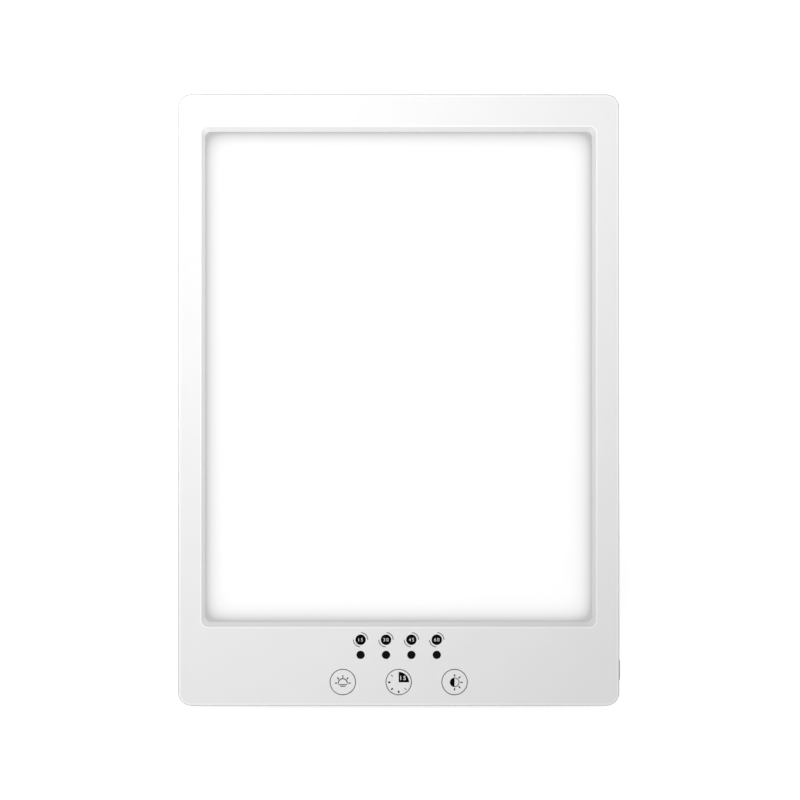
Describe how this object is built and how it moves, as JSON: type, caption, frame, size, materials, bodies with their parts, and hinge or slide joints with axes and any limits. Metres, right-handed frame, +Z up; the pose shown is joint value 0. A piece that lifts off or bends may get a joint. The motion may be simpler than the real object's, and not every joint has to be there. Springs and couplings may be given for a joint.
{
  "type": "light therapy lamp",
  "caption": "Slim desk bright-light panel: a glossy frame round a wide opal window, touch keys and timer lamps below it, a side push key, a barrel power inlet and a fold-out rear leg.",
  "frame": {"origin": "on the table, at the centre of the footprint of the lamp standing on its feet and open leg", "axes": "+Z up from the table; +Y from the lit front to the rear leg; +X to the right as seen from the lit front, towards the side push key"},
  "size_m": [0.1667, 0.096, 0.2207],
  "materials": {
    "bezel_white": "gloss moulded",
    "cover_white": "fine moulded texture",
    "opal_plate": "opal, lit from behind",
    "white_foam": "closed-cell foam",
    "white_film": "matt film",
    "reflector_white": "high-reflectance white",
    "light_board": "white-masked aluminium",
    "phosphor": "clear over yellow phosphor",
    "steel": "zinc plated",
    "grey_rubber": "soft matt",
    "board_green": "solder mask",
    "conductive_foam": "conductive foam",
    "smoked_lens": "smoked, polished",
    "black_plastic": "satin moulded",
    "capacitor_can": "drawn can",
    "key_grey": "satin moulded",
    "contact_brass": "plated",
    "ivory_nylon": "natural nylon",
    "red_insulation": "silicone insulation",
    "black_insulation": "silicone insulation"
  },
  "bodies": {
    "housing": {"front_bezel": "bezel_white", "rear_cover": "cover_white", "diffuser_plate": "opal_plate", "diffuser_gasket": "white_foam", "diffusion_film": "white_film", "reflector_tray": "reflector_white", "led_board": "light_board", "leds": "phosphor", "led_board_screws": "steel", "case_screws": "steel", "control_board_screws": "steel", "hinge_pins": "steel", "rubber_feet": "grey_rubber", "control_board": "board_green", "touch_pads": "conductive_foam", "indicator_lenses": "smoked_lens", "indicator_leds": "phosphor", "indicator_shroud": "black_plastic", "controller_chip": "black_plastic", "driver_inductor": "black_plastic", "driver_capacitors": "capacitor_can", "power_switch": "black_plastic", "dc_inlet": "black_plastic", "dc_inlet_pin": "contact_brass", "lead_socket": "ivory_nylon", "lead_plug": "ivory_nylon", "led_lead_positive": "red_insulation", "led_lead_negative": "black_insulation", "hinge_washers": "ivory_nylon"},
    "leg": {"kickstand_leg": "cover_white", "leg_foot_pad": "grey_rubber"},
    "side_key": {"power_button": "key_grey", "switch_plunger": "black_plastic"}
  },
  "joints": [
    {"name": "leg_hinge", "type": "hinge", "parent": "housing", "child": "leg", "pos_m": [0, 0.01268, 0.12098], "axis": [1, 0, 0], "range_deg": [-28, 0]},
    {"name": "side_key_press", "type": "slide", "parent": "housing", "child": "side_key", "axis": [-1, 0, 0], "range_m": [0, 0.0005], "stiffness_N_per_m": 1000}
  ]
}
